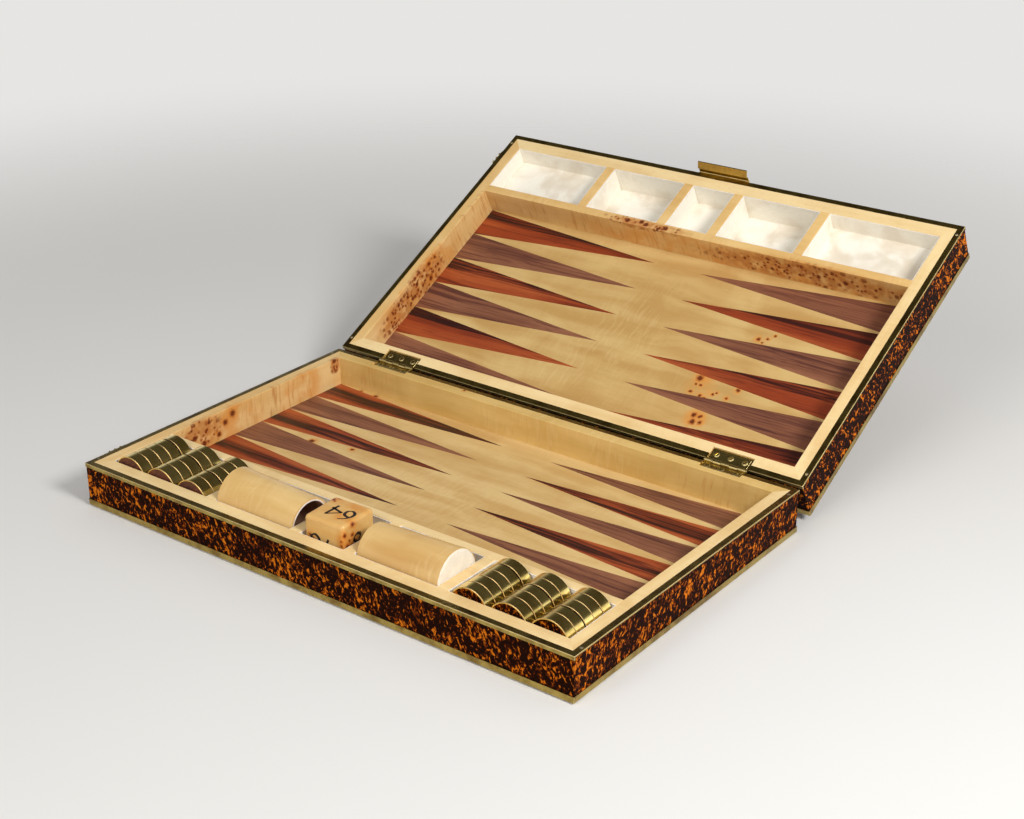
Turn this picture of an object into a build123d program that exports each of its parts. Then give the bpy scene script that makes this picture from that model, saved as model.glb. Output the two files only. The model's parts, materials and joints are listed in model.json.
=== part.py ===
from build123d import *
import math
import os

# A backgammon board: two equal case halves hinged along one long side, in millimetres.
# The origin is at the centre of the lower half's underside, X along the hinge, Y towards it, Z up.
# Every piece of a half is drawn in the half's own frame: X along the hinge, Y from the front face to the
# hinge side, Z up from the rim. The lid is the same half turned round and leant back on its hinge.

# Case
case_depth = 336.6
half_height = 41.9
side_wall = 17.1
hinge_wall = 17.8
front_wall = 18.9
bottom_thickness = 4.0
bottom_lap = 8.0
underlay = 0.8
felt_inset = 4.0
wood_round = 0.6

# Brass edging and the veneered panels between its upper and lower bands
brass = 1.4
brass_round = 0.5
rim_leg = 5.8
rim_drop = 3.7
band_height = 5.5
panel = 0.7

# Playing field
field_depth = 29.2
points_per_side = 6
point_length = 223.4
inlay = 0.6

# Trays along the front wall
rail_thickness = 9.4
divider = 10.2
lining = 0.5
lining_drop = 0.8
tray_sink = 0.7
cube_tray_depth = 24.8
lid_checker_tray_depth = 20.0

# Hinges
open_angle = 27.8
hinge_gap = 4.54
rim_gap = 0.3
hinge_offset = 192.0
leaf_width = 42.0
leaf_thickness = 1.2
leaf_sink = 0.9
leaf_border = 2.0
leaf_step = 0.35
leaf_bevel = 0.3
base_leaf_reach = 13.0
lid_leaf_reach = 15.3
knuckles = 5
barrel_radius = 2.25
hinge_pin_radius = 1.1
pin_head_radius = 1.7
pin_head = 0.8
screw_pitch = 14.5
screws_per_leaf = 3

# Screws
screw_head_radius = 2.8
screw_head = 0.9
screw_shank = 1.2
screw_length = 9.0
slot_width = 0.6
slot_depth = 0.4
slot_turn = 37.0

# Clasp on the lid's front face: a plate that swings on a pin and hooks under the lower rim
clasp_width = 58.0
clasp_height = 20.0
clasp_sheet = 1.0
clasp_pivot_up = -1.6
clasp_barrel = 1.3
clasp_pin_radius = 0.6
hook_past_rim = 1.0
hook_slope = 1.4
hook_clearance = 0.35
tip_length = 7.0
tip_out = 4.2
clasp_screw_inset = 7.0
clasp_screw_margin = 4.0
clasp_screw_under_rim = 2.0
clasp_screw_length = 8.0

# Small catch plates on the left side, near the front
catch_from_front = 37.5
catch_width = 20.0
catch_height = 12.5
catch_screw_inset = 4.0
catch_stud_radius = 1.3
catch_stud = 2.2
catch_stud_pitch = 6.3
catch_stud_drop = 2.3

# Clearances
pin_clearance = 0.05
running_gap = 0.3
seat_gap = 0.3
mortise_gap = 0.4
rim_margin = 0.6
row_gap = 0.5
checker_side_room = 1.75
checker_row_room = 2.2
cup_end_room = 3.0
cube_side_room = 5.0

# Playing pieces
checker_diameter = 38.0
checker_thickness = 11.0
checker_band = 1.0
checker_edge = 0.4
face_recess = 0.7
checkers_per_row = 5
rows_per_tray = 3
checker_gaps = (0.3, 0.7, 0.3, 1.5)
cup_length = 85.0
cup_closed_radius = 24.8
cup_mouth_radius = 23.0
cup_wall = 2.2
cup_bottom = 5.0
cup_felt = 0.8
end_disc = 1.2
end_disc_inset = 2.2
cup_front_gap = 0.5
cube_size = 44.5
cube_round = 2.0
cube_turn = 2.0
cube_shift = 0.8
cube_front_gap = 1.2

# Worked out from the sizes above: each tray fits what lies in it, and the case fits its trays
over = 1.0
row_spacing = checker_diameter + row_gap
checker_tray = rows_per_tray * row_spacing + checker_side_room
cup_tray = cup_length + cup_end_room
cube_tray = cube_size + cube_side_room
case_width = cube_tray + 2 * (divider + cup_tray + divider + checker_tray + side_wall)
tray_length = checkers_per_row * checker_thickness + sum(checker_gaps) + 2 * lining + checker_row_room
tray_depth = field_depth + tray_sink
inner_half = case_width / 2 - side_wall
hinge_face = case_depth - hinge_wall
case_bottom = underlay - half_height
board_bottom = case_bottom + bottom_thickness
rail_front = front_wall + tray_length
rail_rear = rail_front + rail_thickness
point_pitch = (hinge_face - rail_rear) / points_per_side
clasp_pivot_out = clasp_sheet + clasp_barrel + running_gap
hinge_y = case_depth + hinge_gap / 2
hinge_z = rim_gap / 2
face_step = brass - panel

base_place = Location((0, -case_depth / 2, half_height))
hinge_place = base_place * Location((0, hinge_y, hinge_z), (open_angle, 0, 0))
lid_place = hinge_place * Location((0, hinge_y, -hinge_z), (0, 0, 180))


def block(x, y, z):
    size = [high - low for low, high in (x, y, z)]
    corner = (Align.MIN, Align.MIN, Align.MIN)
    return Pos(x[0], y[0], z[0]) * Box(*size, align=corner)


def slab(inset, z):
    # The half's plan drawn in by inset on all four sides
    x = (inset - case_width / 2, case_width / 2 - inset)
    return block(x, (inset, case_depth - inset), z)


def rod(radius, x, y, z):
    # A round bar along X
    bar = Cylinder(radius, x[1] - x[0], rotation=(0, 90, 0))
    return Pos((x[0] + x[1]) / 2, y, z) * bar


def prism(outline, z):
    face = make_face(Polyline(*outline, close=True))
    return Pos(0, 0, z[0]) * extrude(face, z[1] - z[0])


def solids_of(*shapes):
    return Compound([solid for shape in shapes for solid in shape.solids()])


def mitred(ring):
    # A ring along the walls, cut into its four sides on the lines from outer to inner corners
    left, right = -case_width / 2, case_width / 2
    corners = {
        "front_left": [(left, 0), (-inner_half, front_wall)],
        "front_right": [(right, 0), (inner_half, front_wall)],
        "rear_right": [(right, case_depth), (inner_half, hinge_face)],
        "rear_left": [(left, case_depth), (-inner_half, hinge_face)],
    }
    ends = {
        "front": ("front_left", "front_right"),
        "right": ("front_right", "rear_right"),
        "rear": ("rear_right", "rear_left"),
        "left": ("rear_left", "front_left"),
    }
    height = (-half_height - over, over)
    sides = {}
    for side, (first, last) in ends.items():
        outline = corners[first] + corners[last][::-1]
        sides[side] = ring & prism(outline, height)
    return sides


# Case halves
def wall_ring():
    ring = slab(brass, (case_bottom, 0))
    cavity = (-inner_half, inner_half), (front_wall, hinge_face)
    ring -= block(*cavity, (case_bottom - over, over))
    ring -= slab(0, (-brass, over)) - slab(rim_leg, (-brass - over, over + over))
    return ring - bottom_board()


def inner_edge_rounded(wall):
    # Of the two long edges of the wall's top, the one nearer to the middle of the half
    middle = Vector(0, (front_wall + hinge_face) / 2, 0)
    top = wall.faces().sort_by(Axis.Z)[-1]
    long_edges = top.edges().sort_by(lambda edge: edge.length)[-2:]
    return fillet(long_edges.sort_by_distance(middle)[:1], wood_round)


def bottom_board():
    half = inner_half + bottom_lap
    y = (front_wall - bottom_lap, hinge_face + bottom_lap)
    return block((-half, half), y, (case_bottom, board_bottom))


def rounded_outside(shape, end):
    # Rounds the upright corners and the outer edge of the top (1) or bottom (0) face
    face = shape.faces().sort_by(Axis.Z)[-end]
    return fillet(shape.edges().filter_by(Axis.Z) + face.edges(), brass_round)


def end_strip(side, inset, z):
    # On the left (-1) or right (1) end face, between the brass of the front and the hinge side
    x = sorted((side * (case_width / 2 - brass), side * (case_width / 2 - inset)))
    return block(x, (brass, case_depth - brass), z)


def rim_angle_ring():
    # An angle along the front and the hinge side, and a flat strip on the ends
    ring = rounded_outside(slab(0, (-rim_drop, 0)), 1)
    ring -= slab(rim_leg, (-rim_drop - over, over))
    ring -= slab(brass, (-rim_drop - over, -brass))
    return ring - solids_of(*[end_strip(side, -over, (-rim_drop - over, -brass)) for side in (-1, 1)])


def edge_band_ring(bottom):
    ring = rounded_outside(slab(0, (bottom, case_bottom + band_height)), 0)
    return ring - slab(brass, (bottom - over, case_bottom + band_height + over))


def side_panels():
    # Four panels, which on the ends reach up to the rim's flat strip
    z = (case_bottom + band_height, -rim_drop)
    panels = mitred(slab(face_step, z) - slab(brass, (z[0] - over, z[1] + over)))
    for name, side in (("left", -1), ("right", 1)):
        panels[name] += end_strip(side, face_step, (-rim_drop, -brass))
    return panels


def field_board():
    x = (-inner_half, inner_half)
    board = block(x, (front_wall, hinge_face), (board_bottom, -field_depth))
    board -= block(x, (front_wall, rail_front), (-tray_depth - lining, over))
    return board - solids_of(*point_inlays("rosewood"), *point_inlays("walnut"))


def point_inlays(wood):
    # The two woods take turns, and the two sides start with different ones beside the hinge
    pieces = []
    for side in (-1, 1):
        for index in range(points_per_side):
            turn = (index + (side > 0)) % 2
            if ("rosewood", "walnut")[turn] != wood:
                continue
            rear = hinge_face - index * point_pitch
            base_x = side * inner_half
            tip = (side * (inner_half - point_length), rear - point_pitch / 2)
            outline = [(base_x, rear), (base_x, rear - point_pitch), tip]
            pieces.append(prism(outline, (-field_depth - inlay, -field_depth)))
    return pieces


# Trays
def tray_spans():
    # The trays between their wooden faces, left to right
    near = cube_tray / 2 + divider
    far = near + cup_tray
    right = [(near, far), (far + divider, inner_half)]
    left = [(-high, -low) for low, high in reversed(right)]
    return left + [(-cube_tray / 2, cube_tray / 2)] + right


def top_rounded(board):
    return fillet(board.faces().sort_by(Axis.Z)[-1].edges(), wood_round)


def tray_depths(checker_depth):
    return [checker_depth, tray_depth, cube_tray_depth, tray_depth, checker_depth]


def tray_frame(checker_depth):
    # The rail beside the field, the dividers between the trays, and a raised floor in each shallower tray
    rail = block((-inner_half, inner_half), (rail_front, rail_rear), (-field_depth, 0))
    pieces = [top_rounded(rail)]
    spans = tray_spans()
    y = (front_wall, rail_front)
    floor = -tray_depth - lining
    for before, after in zip(spans, spans[1:]):
        pieces.append(top_rounded(block((before[1], after[0]), y, (floor, 0))))
    for span, depth in zip(spans, tray_depths(checker_depth)):
        if depth < tray_depth:
            pieces.append(block(span, y, (floor, -depth - lining)))
    return pieces


def tray_linings(checker_depth):
    pieces = []
    for (low, high), depth in zip(tray_spans(), tray_depths(checker_depth)):
        outer = block((low, high), (front_wall, rail_front), (-depth - lining, -lining_drop))
        x = (low + lining, high - lining)
        y = (front_wall + lining, rail_front - lining)
        pieces.append(outer - block(x, y, (-depth, over)))
    return pieces


# Screws
def screw(length, turn):
    # A round slotted head on z = 0 with its shank below
    ball = (screw_head_radius**2 + screw_head**2) / (2 * screw_head)
    upward = (Align.CENTER, Align.CENTER, Align.MIN)
    head = Cylinder(screw_head_radius, screw_head, align=upward)
    head &= Pos(0, 0, screw_head - ball) * Sphere(ball)
    slot = Box(2 * screw_head_radius + over, slot_width, 2 * slot_depth, rotation=(0, 0, turn))
    downward = (Align.CENTER, Align.CENTER, Align.MAX)
    return head - Pos(0, 0, screw_head) * slot + Cylinder(screw_shank, length, align=downward)


def screw_hole(length):
    downward = (Align.CENTER, Align.CENTER, Align.MAX)
    hole = Cylinder(screw_shank + pin_clearance, length + pin_clearance + over, align=downward)
    return Pos(0, 0, over) * hole


# Hinges
def leaf_screw_places(reach):
    y = hinge_y - (reach + barrel_radius) / 2
    places = []
    for centre in (-hinge_offset, hinge_offset):
        for index in range(screws_per_leaf):
            x = centre + (index - (screws_per_leaf - 1) / 2) * screw_pitch
            places.append(Location((x, y, -leaf_sink)))
    return places


def knuckle_span(centre, index, gap):
    pitch = leaf_width / knuckles
    start = centre - leaf_width / 2 + index * pitch
    return (start + gap, start + pitch - gap)


def hinge_leaf(centre, reach, first):
    # A leaf with a raised middle, every second knuckle from first on, and room for the other leaf's
    half = leaf_width / 2
    raised = half - leaf_border
    y = (hinge_y - reach, hinge_y)
    floor = -leaf_sink - leaf_thickness
    middle = block((centre - raised, centre + raised), (y[0] + leaf_border, y[1]), (floor, -leaf_sink))
    leaf = chamfer(middle.faces().sort_by(Axis.Z)[-1].edges(), leaf_bevel)
    leaf += block((centre - half, centre + half), y, (floor, -leaf_sink - leaf_step))
    for index in range(knuckles):
        if index % 2 == first:
            span = knuckle_span(centre, index, running_gap / 2)
            leaf += rod(barrel_radius, span, hinge_y, hinge_z)
        else:
            span = knuckle_span(centre, index, -running_gap / 2)
            leaf -= rod(barrel_radius + running_gap, span, hinge_y, hinge_z)
    bore = (centre - half - over, centre + half + over)
    leaf -= rod(hinge_pin_radius + pin_clearance, bore, hinge_y, hinge_z)
    for place in leaf_screw_places(reach):
        leaf -= place * screw_hole(screw_length)
    return leaf


def hinge_room(reach):
    # What the walls and the rim angle lose to both hinges: mortises, barrels and screw holes
    cutters = []
    for centre in (-hinge_offset, hinge_offset):
        half = leaf_width / 2 + mortise_gap
        x = (centre - half, centre + half)
        y = (hinge_y - reach - mortise_gap, case_depth + over)
        cutters.append(block(x, y, (-leaf_sink - leaf_thickness, over)))
        ends = (x[0] - pin_head, x[1] + pin_head)
        cutters.append(rod(barrel_radius + running_gap, ends, hinge_y, hinge_z))
    cutters += [place * screw_hole(screw_length) for place in leaf_screw_places(reach)]
    return cutters


def hinge_pin(centre):
    half = leaf_width / 2
    pin = rod(hinge_pin_radius, (centre - half, centre + half), hinge_y, hinge_z)
    for side in (-1, 1):
        ends = sorted((centre + side * half, centre + side * (half + pin_head)))
        pin += rod(pin_head_radius, ends, hinge_y, hinge_z)
    return pin


# Face plates: drawn on the front face at x = 0, stepped back to seat on the panel under the brass
def face_plate(width, height, top, drop):
    half = width / 2
    plate = block((-half, half), (-clasp_sheet, 0), (-height, -top))
    return plate + block((-half, half), (-clasp_sheet, face_step), (-height, -drop))


def face_screw_place(x, z):
    return Location((x, -clasp_sheet, z), (90, 0, 0))


# Clasp
def clasp_screw_places():
    half = clasp_width / 2 - clasp_screw_inset
    upper = -rim_drop - clasp_screw_under_rim - screw_head_radius
    lower = clasp_screw_margin - clasp_height
    return [face_screw_place(x, z) for x in (-half, half) for z in (upper, lower)]


def clasp_span(index, gap):
    pitch = clasp_width / knuckles
    start = -clasp_width / 2 + index * pitch
    return (start + gap, start + pitch - gap)


def clasp_bracket():
    bracket = face_plate(clasp_width, clasp_height, rim_margin, rim_drop)
    arm_y = (-clasp_pivot_out - clasp_barrel, -rim_margin)
    for index in range(0, knuckles, 2):
        span = clasp_span(index, running_gap / 2)
        bracket += block(span, arm_y, (-rim_drop, clasp_pivot_up))
        bracket += rod(clasp_barrel, span, -clasp_pivot_out, clasp_pivot_up)
    for place in clasp_screw_places():
        bracket -= place * screw_hole(clasp_screw_length)
    ends = (-clasp_width / 2 - over, clasp_width / 2 + over)
    bore = rod(clasp_pin_radius + pin_clearance, ends, -clasp_pivot_out, clasp_pivot_up)
    return bracket - bore


def clasp_plate():
    # The plate's section from the pivot out: straight, in to the hook's ridge, then out to the lip
    inner = -clasp_pivot_out + clasp_sheet / 2
    start = clasp_pivot_up + clasp_barrel + running_gap
    hook_up = rim_gap + rim_drop + hook_past_rim
    hook_start = hook_up - hook_slope
    tip_up = hook_up + tip_length
    section = [
        (inner, start),
        (inner, hook_start),
        (-hook_clearance, hook_up),
        (clasp_sheet - tip_out, tip_up),
        (-tip_out, tip_up),
        (-hook_clearance - clasp_sheet, hook_up),
        (inner - clasp_sheet, hook_start),
        (inner - clasp_sheet, start),
    ]
    face = make_face(Polyline(*[(0, y, z) for y, z in section], close=True))
    plate = Pos(-clasp_width / 2, 0, 0) * extrude(face, clasp_width, dir=(1, 0, 0))
    for index in range(1, knuckles, 2):
        span = clasp_span(index, running_gap / 2)
        plate += block(span, (inner - clasp_sheet, inner), (clasp_pivot_up, start + over / 2))
        plate += rod(clasp_barrel, span, -clasp_pivot_out, clasp_pivot_up)
    ends = (-clasp_width / 2 - over, clasp_width / 2 + over)
    return plate - rod(clasp_pin_radius + pin_clearance, ends, -clasp_pivot_out, clasp_pivot_up)


def clasp_pin():
    ends = (-clasp_width / 2 - running_gap, clasp_width / 2 + running_gap)
    return rod(clasp_pin_radius, ends, -clasp_pivot_out, clasp_pivot_up)


# Side catches
def catch_place(side):
    return Location((side * case_width / 2, catch_from_front, 0), (0, 0, side * 90))


def catch_screw_places():
    half = catch_width / 2 - catch_screw_inset
    return [face_screw_place(x, catch_screw_inset - catch_height) for x in (-half, half)]


def side_catch():
    # A plate with a row of round studs along its top, and two screws under them
    plate = face_plate(catch_width, catch_height, rim_margin, brass)
    outward = (Align.CENTER, Align.CENTER, Align.MIN)
    stud = Cylinder(catch_stud_radius, catch_stud, align=outward)
    for x in (-catch_stud_pitch, 0, catch_stud_pitch):
        plate += face_screw_place(x, -catch_stud_drop) * stud
    for place in catch_screw_places():
        plate -= place * screw_hole(screw_length)
    screws = [place * screw(screw_length, slot_turn) for place in catch_screw_places()]
    return [plate] + screws


# Playing pieces, in the lower half's frame
def checker():
    # A brass band with bevelled edges round a face disc that is sunk a little on both sides
    radius = checker_diameter / 2
    upward = (Align.CENTER, Align.CENTER, Align.MIN)
    band = Cylinder(radius, checker_thickness, align=upward)
    band = chamfer(band.edges().filter_by(GeomType.CIRCLE), checker_edge)
    band -= Cylinder(radius - checker_band, checker_thickness, align=upward)
    thickness = checker_thickness - 2 * face_recess
    disc = Cylinder(radius - checker_band, thickness, align=upward)
    return band, Pos(0, 0, face_recess) * disc


def checker_row(x, order):
    # Five checkers on edge behind the front wall, with small uneven gaps that differ from row to row
    z = checker_diameter / 2 - tray_depth + seat_gap
    y = front_wall + lining + running_gap
    bands, faces = [], []
    for index in range(checkers_per_row):
        place = Location((x, y, z), (-90, 0, 0))
        band, disc = checker()
        bands.append(place * band)
        faces.append(place * disc)
        y += checker_thickness + checker_gaps[(index + order) % len(checker_gaps)]
    return bands, faces


def cup_place(side):
    # On its side in its tray, mouth towards the cube, with its lowest line level above the tray floor
    low, high = tray_spans()[2 + side]
    taper = math.atan((cup_closed_radius - cup_mouth_radius) / cup_length)
    reach = cup_length * math.cos(taper) + 2 * cup_mouth_radius * math.sin(taper)
    closed_x = (low + high + side * reach) / 2
    y = front_wall + lining + cup_front_gap + cup_closed_radius
    z = seat_gap - tray_depth
    turn = Location((0, 0, 0), (0, 0, 180 if side > 0 else 0))
    lie = Location((0, 0, 0), (0, 90 + math.degrees(taper), 0))
    return Location((closed_x, y, z)) * turn * lie * Pos(-cup_closed_radius, 0, 0)


def cup_pieces():
    # Drawn upright with the closed end on z = 0
    upward = (Align.CENTER, Align.CENTER, Align.MIN)
    drop = (cup_closed_radius - cup_mouth_radius) / cup_length

    def radius_at(z, inset):
        return cup_closed_radius - drop * z - inset

    def cone(start, end, inset):
        bottom, top = radius_at(start, inset), radius_at(end, inset)
        return Pos(0, 0, start) * Cone(bottom, top, end - start, align=upward)

    shell = cone(0, cup_length, 0) - cone(cup_bottom, cup_length, cup_wall)
    end_disc_radius = cup_closed_radius - end_disc_inset
    shell -= Cylinder(end_disc_radius, end_disc, align=upward)
    lining_start = cup_bottom + cup_felt
    felt = cone(cup_bottom, cup_length - cup_felt, cup_wall)
    felt -= cone(lining_start, cup_length - cup_felt, cup_wall + cup_felt)
    disc = Cylinder(end_disc_radius, end_disc, align=upward)
    return {"shell": shell, "lining": felt, "end_disc": disc}


def doubling_cube():
    low = seat_gap - cube_tray_depth
    cube = Box(cube_size, cube_size, cube_size)
    cube = fillet(cube.edges(), cube_round)
    y = front_wall + lining + cube_front_gap + cube_size / 2
    return Location((cube_shift, y, low + cube_size / 2), (0, 0, cube_turn)) * cube


# Nodes, each placed in the part's frame
nodes = {}


def add(name, place, *shapes):
    nodes[name] = place * solids_of(*shapes)


def add_half(name, place, hand, reach, first_knuckle, checker_depth, band_bottom, front_holes):
    # hand is -1 on the lid, which is turned round: its left and right are named as seen from the front
    ends = ("left", "right")[::hand]
    catch = catch_place(-hand)
    catch_holes = [catch * spot * screw_hole(screw_length) for spot in catch_screw_places()]
    walls = {side: inner_edge_rounded(wall) for side, wall in mitred(wall_ring()).items()}
    rims, panels = mitred(rim_angle_ring()), side_panels()
    for pieces in (walls, panels):
        pieces["left" if hand > 0 else "right"] -= solids_of(*catch_holes)
    for pieces, hole in [(pieces, hole) for pieces in (walls, panels) for hole in front_holes]:
        pieces["front"] -= hole
    for pieces in (walls, rims):
        pieces["rear"] -= solids_of(*hinge_room(reach))
    seen_as = {"left": ends[0], "right": ends[1], "front": "front", "rear": "rear"}
    for side, wall in walls.items():
        add(f"{name}_{seen_as[side]}_wall", place, wall)
    add(f"{name}_rim_angle", place, *rims.values())
    add(f"{name}_side_panels", place, *panels.values())
    add(f"{name}_edge_band", place, *mitred(edge_band_ring(band_bottom)).values())
    add(f"{name}_bottom_board", place, bottom_board())
    add(f"{name}_field_board", place, field_board())
    for wood in ("rosewood", "walnut"):
        add(f"{name}_points_{wood}", place, *point_inlays(wood))
    add(f"{name}_tray_frame", place, *tray_frame(checker_depth))
    add(f"{name}_tray_linings", place, *tray_linings(checker_depth))
    for end, centre in zip(ends, (-hinge_offset, hinge_offset)):
        add(f"{name}_{end}_hinge_leaf", place, hinge_leaf(centre, reach, first_knuckle))
    screws = [
        spot * screw(screw_length, slot_turn * order)
        for order, spot in enumerate(leaf_screw_places(reach))
    ]
    add(f"{name}_hinge_screws", place, *screws)
    add(f"{name}_side_catch", place * catch, *side_catch())


def add_clasp():
    add("clasp_bracket", lid_place, clasp_bracket())
    add("clasp_plate", lid_place, clasp_plate())
    add("clasp_pin", lid_place, clasp_pin())
    screws = [
        spot * screw(clasp_screw_length, slot_turn * order)
        for order, spot in enumerate(clasp_screw_places())
    ]
    add("clasp_screws", lid_place, *screws)


def add_playing_pieces():
    ends = {"left": tray_spans()[0], "right": tray_spans()[-1]}
    for name, (low, high) in ends.items():
        for row in range(rows_per_tray):
            x = (low + high) / 2 + (row - (rows_per_tray - 1) / 2) * row_spacing
            bands, faces = checker_row(x, row)
            add(f"{name}_checkers_{row + 1}_bands", base_place, *bands)
            add(f"{name}_checkers_{row + 1}_faces", base_place, *faces)
    for name, side in (("left", -1), ("right", 1)):
        for piece, shape in cup_pieces().items():
            add(f"{name}_cup_{piece}", base_place * cup_place(side), shape)
    add("doubling_cube", base_place, doubling_cube())


clasp_holes = [spot * screw_hole(clasp_screw_length) for spot in clasp_screw_places()]
add_half("base", base_place, 1, base_leaf_reach, 0, tray_depth, case_bottom, [])
add_half("lid", lid_place, -1, lid_leaf_reach, 1, lid_checker_tray_depth, -half_height, clasp_holes)
add("base_underside_felt", base_place, slab(felt_inset, (-half_height, case_bottom)))
add("lid_top_panel", lid_place, slab(brass, (-half_height, case_bottom)))
add("hinge_pins", base_place, hinge_pin(-hinge_offset), hinge_pin(hinge_offset))
add_clasp()
add_playing_pieces()

os.makedirs("parts", exist_ok=True)
for name, shape in nodes.items():
    export_step(shape, f"parts/{name}.step")
print(len(nodes), "nodes")
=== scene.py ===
import json
import math

import bmesh
import bpy
import numpy as np
from mathutils import Euler, Matrix, Vector


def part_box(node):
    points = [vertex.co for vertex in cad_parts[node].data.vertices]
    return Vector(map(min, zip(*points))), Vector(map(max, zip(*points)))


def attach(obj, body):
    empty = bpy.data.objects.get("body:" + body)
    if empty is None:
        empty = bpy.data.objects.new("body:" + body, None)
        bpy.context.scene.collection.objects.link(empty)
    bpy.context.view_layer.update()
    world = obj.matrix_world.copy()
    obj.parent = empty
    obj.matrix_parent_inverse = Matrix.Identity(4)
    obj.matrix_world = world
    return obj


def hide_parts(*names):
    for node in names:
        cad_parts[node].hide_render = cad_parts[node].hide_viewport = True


# Backgammon board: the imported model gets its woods, brass, linings and small trim here, all in metres

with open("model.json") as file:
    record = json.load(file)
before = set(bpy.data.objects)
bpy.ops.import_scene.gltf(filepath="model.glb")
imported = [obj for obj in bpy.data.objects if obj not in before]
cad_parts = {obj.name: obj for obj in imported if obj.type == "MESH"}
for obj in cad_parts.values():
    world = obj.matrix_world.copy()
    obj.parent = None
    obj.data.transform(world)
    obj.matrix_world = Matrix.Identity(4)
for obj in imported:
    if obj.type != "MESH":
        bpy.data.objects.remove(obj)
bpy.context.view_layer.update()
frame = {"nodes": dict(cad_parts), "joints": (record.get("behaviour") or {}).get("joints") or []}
nodes = frame["nodes"]


# Where the two halves lie: x along the hinge, y from the front face to the hinge side, z up from the rim
halves, sides = ("base", "lid"), ("left", "right")
caseSizes = {"frontFace": -0.1683, "rim": 0.0419}
lidHinge = [joint for joint in frame["joints"] if joint["name"] == "lid_hinge"][0]
axisY, axisZ = lidHinge["pos_m"][1] - caseSizes["frontFace"], lidHinge["pos_m"][2] - caseSizes["rim"]
baseFrame = Matrix.Translation((0, caseSizes["frontFace"], caseSizes["rim"]))
openTurn = Matrix.Rotation(math.radians(lidHinge["range_deg"][1]), 4, "X")
lidFrame = baseFrame @ Matrix.Translation((0, axisY, axisZ)) @ openTurn
lidFrame = lidFrame @ Matrix.Translation((0, axisY, -axisZ)) @ Matrix.Rotation(math.pi, 4, "Z")
cubeSizes = {"edge": 0.0412, "round": 0.0034, "across": -0.0014, "fromFront": 0.0436, "turnDegrees": 3}


def cubePlace():
    # The doubling cube stands a little turned on its tray's floor
    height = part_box("doubling_cube")[0].z + cubeSizes["edge"] / 2
    centre = Vector((cubeSizes["across"], caseSizes["frontFace"] + cubeSizes["fromFront"], height))
    return Matrix.Translation(centre) @ Matrix.Rotation(math.radians(cubeSizes["turnDegrees"]), 4, "Z")


halfFrames = {"base": baseFrame, "lid": lidFrame, "cube": cubePlace()}


# Camera, floor and lamps
cameraSizes = {
    "place": (0.90311, -1.08224, 0.74023),
    "turnDegrees": (65.745, 0.059, 37.127),
    "lens": 62.897,
    "sensor": 36,
}


def placeCamera():
    # The photograph's own view, solved from the straight edges of the two halves
    lens = bpy.data.cameras.new("camera")
    lens.lens, lens.sensor_width = cameraSizes["lens"], cameraSizes["sensor"]
    lens.clip_start, lens.clip_end = 0.05, 50
    camera = bpy.data.objects.new("camera", lens)
    camera.location = cameraSizes["place"]
    camera.rotation_euler = [math.radians(turn) for turn in cameraSizes["turnDegrees"]]
    bpy.context.scene.collection.objects.link(camera)
    bpy.context.scene.camera = camera


placeCamera()
bpy.context.scene.view_settings.view_transform = "Standard"
print("camera placed")


def tone(red, green, blue):
    # A screen colour, 0 to 255, as linear light
    values = [channel / 255 for channel in (red, green, blue)]
    return tuple([v / 12.92 if v <= 0.04045 else ((v + 0.055) / 1.055) ** 2.4 for v in values] + [1.0])


# One socket of a shader tree: the operators add Math nodes beside it
class Field:
    def __init__(self, nodes, socket):
        self.nodes, self.socket = nodes, socket

    def maths(self, operation, first, second):
        return self.nodes.add("Math", {"operation": operation}, {0: first, 1: second})

    def __add__(self, other):
        return self.maths("ADD", self, other)

    def __radd__(self, other):
        return self.maths("ADD", other, self)

    def __sub__(self, other):
        return self.maths("SUBTRACT", self, other)

    def __rsub__(self, other):
        return self.maths("SUBTRACT", other, self)

    def __mul__(self, other):
        return self.maths("MULTIPLY", self, other)

    def __rmul__(self, other):
        return self.maths("MULTIPLY", other, self)

    def __abs__(self):
        return self.nodes.add("Math", {"operation": "ABSOLUTE"}, {0: self})

    def fraction(self):
        return self.nodes.add("Math", {"operation": "FRACT"}, {0: self})

    def most(self, other):
        return self.maths("MAXIMUM", self, other)

    def least(self, other):
        return self.maths("MINIMUM", self, other)

    def ramp(self, low, high):
        # 0 at low, 1 at high, with a soft slope between; low may be above high
        settings = {"interpolation_type": "SMOOTHSTEP"}
        return self.nodes.add("MapRange", settings, {"Value": self, "From Min": low, "From Max": high})


# A node tree, and the one method that puts nodes in it
class Nodes:
    def __init__(self, holder):
        holder.use_nodes = True
        self.tree = holder.node_tree

    def add(self, kind, settings, sockets, output=0):
        made = self.tree.nodes.new("ShaderNode" + kind)
        for setting, value in settings.items():
            setattr(made, setting, value)
        for socket, value in sockets.items():
            if isinstance(value, Field):
                self.tree.links.new(value.socket, made.inputs[socket])
            else:
                made.inputs[socket].default_value = value
        return Field(self, made.outputs[output])

    def blend(self, factor, first, second):
        return self.add("Mix", {"data_type": "RGBA"}, {0: factor, 6: first, 7: second}, 2)


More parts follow.
